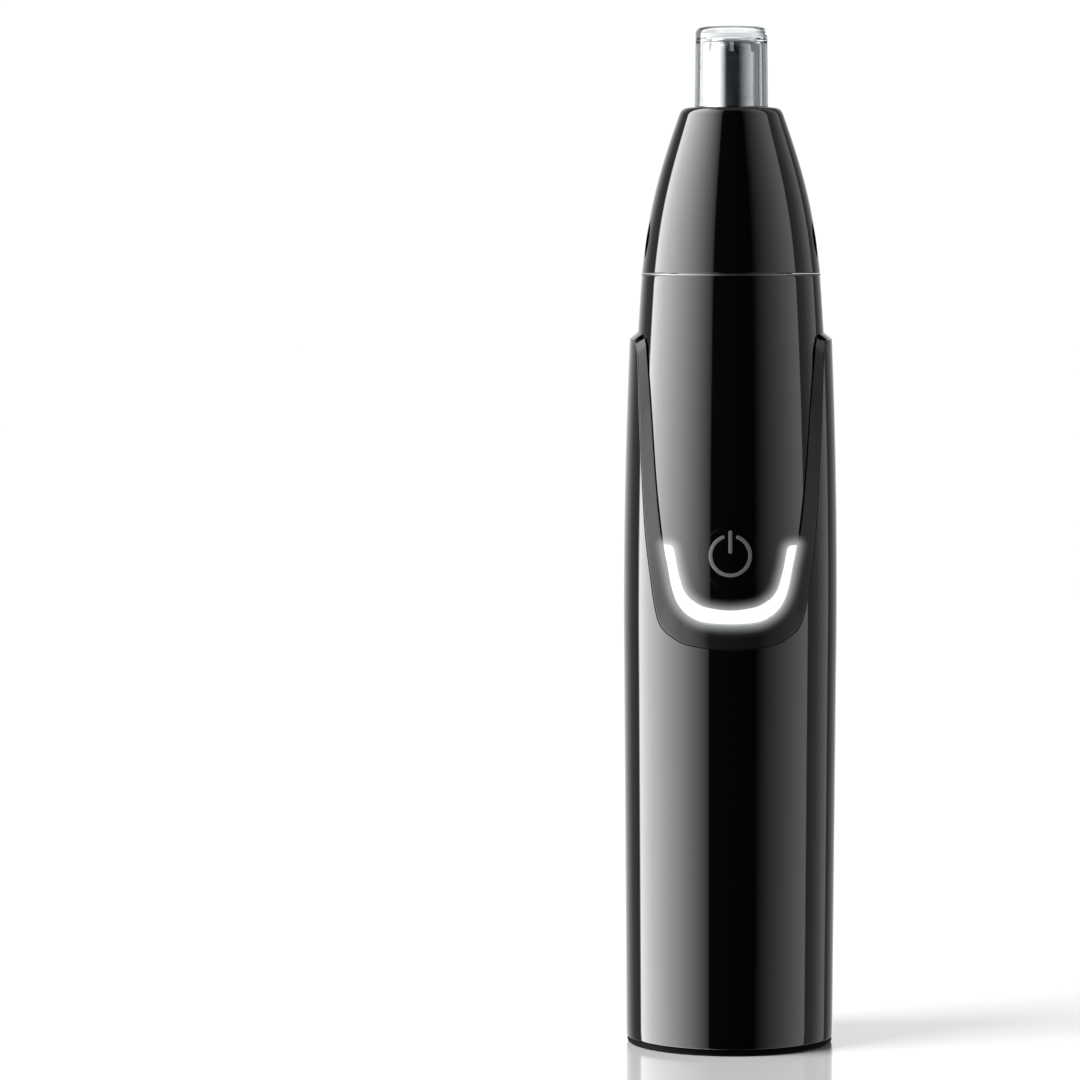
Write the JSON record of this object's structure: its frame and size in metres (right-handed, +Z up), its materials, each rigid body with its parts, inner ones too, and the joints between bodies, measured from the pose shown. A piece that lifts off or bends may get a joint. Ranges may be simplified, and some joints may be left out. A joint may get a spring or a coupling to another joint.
{
  "type": "nose hair trimmer",
  "caption": "Slim cylindrical nose hair trimmer with a clear cutter cap, tapered twist-off head, front power button and U-shaped light.",
  "frame": {"origin": "centre of the base's underside, where it stands", "axes": "+Z up along the body to the cutter, -Y is the front with the power button, +X to the right seen from the front"},
  "size_m": [0.0284, 0.0284, 0.135],
  "materials": {
    "gloss_black": "high gloss",
    "satin_grey": "satin",
    "light_white": "diffusing, lit from behind",
    "chrome_trim": "dark satin chrome",
    "satin_black": "satin",
    "rubber_black": "matte",
    "symbol_grey": "satin print",
    "silicone_grey": "matte",
    "silicone_black": "matte",
    "switch_black": "matte",
    "board_green": "solder mask",
    "screw_steel": "zinc plated",
    "lamp_white": "phosphor",
    "chip_black": "moulded epoxy",
    "socket_steel": "nickel plated",
    "chassis_white": "moulded",
    "battery_wrap": "shrink wrap",
    "nickel": "nickel strip",
    "motor_steel": "plated",
    "magnet_grey": "sintered ferrite",
    "copper": "wound copper",
    "motor_plastic": "moulded",
    "brass_tab": "stamped",
    "wire_red": "PVC",
    "drive_white": "acetal",
    "cutter_steel": "satin polished",
    "blade_steel": "ground",
    "spring_steel": "drawn",
    "clear_plastic": "clear, polished"
  },
  "bodies": {
    "housing": {"outer_barrel": "gloss_black", "upper_body": "gloss_black", "bevel_band": "satin_grey", "light_guide": "light_white", "trim_ring": "chrome_trim", "base_cap": "satin_black", "base_o_ring": "rubber_black", "switch_body": "switch_black", "circuit_board": "board_green", "board_screws": "screw_steel", "indicator_lamps": "lamp_white", "control_chips": "chip_black", "usb_socket": "socket_steel", "usb_tongue": "chip_black", "chassis": "chassis_white", "battery_cell": "battery_wrap", "battery_tabs": "nickel", "motor_can": "motor_steel", "motor_magnets": "magnet_grey", "motor_end_cap": "motor_plastic", "motor_terminals": "brass_tab", "motor_leads": "wire_red", "motor_screws": "screw_steel", "shaft_seal": "rubber_black", "head_o_ring": "rubber_black"},
    "head": {"nose_cone": "gloss_black", "cutter_retainer": "drive_white", "outer_cutter": "cutter_steel"},
    "cutter": {"inner_cutter": "blade_steel", "cutter_spindle": "drive_white", "cutter_spring": "spring_steel"},
    "rotor": {"motor_shaft": "motor_steel", "motor_armature": "copper", "drive_coupling": "drive_white"},
    "cap": {"clear_cap": "clear_plastic"},
    "button": {"power_button": "gloss_black", "power_symbol": "symbol_grey", "button_membrane": "silicone_grey"},
    "plunger": {"switch_plunger": "switch_black"},
    "plug": {"port_plug": "silicone_black"}
  },
  "joints": [
    {"name": "head_twist", "type": "hinge", "parent": "housing", "child": "head", "pos_m": [0, 0, 0.1025], "axis": [0, 0, 1], "range_deg": [0, 30]},
    {"name": "motor_spin", "type": "hinge", "parent": "housing", "child": "rotor", "pos_m": [0, 0, 0.09], "axis": [0, 0, 1], "continuous": true},
    {"name": "cutter_spin", "type": "hinge", "parent": "housing", "child": "cutter", "pos_m": [0, 0, 0.12], "axis": [0, 0, 1], "continuous": true},
    {"name": "cap_pull", "type": "slide", "parent": "head", "child": "cap", "axis": [0, 0, 1], "range_m": [0, 0.02]},
    {"name": "button_press", "type": "slide", "parent": "housing", "child": "button", "axis": [0, 1, 0], "range_m": [0, 0.0003], "stiffness_N_per_m": 4000},
    {"name": "switch_click", "type": "slide", "parent": "housing", "child": "plunger", "axis": [0, 1, 0], "range_m": [0, 0.0003]},
    {"name": "port_plug_pull", "type": "slide", "parent": "housing", "child": "plug", "axis": [0, 0, -1], "range_m": [0, 0.008]}
  ],
  "couplings": [
    {"joint": "cutter_spin", "follows": "motor_spin", "ratio": 1},
    {"joint": "switch_click", "follows": "button_press", "ratio": 1}
  ]
}
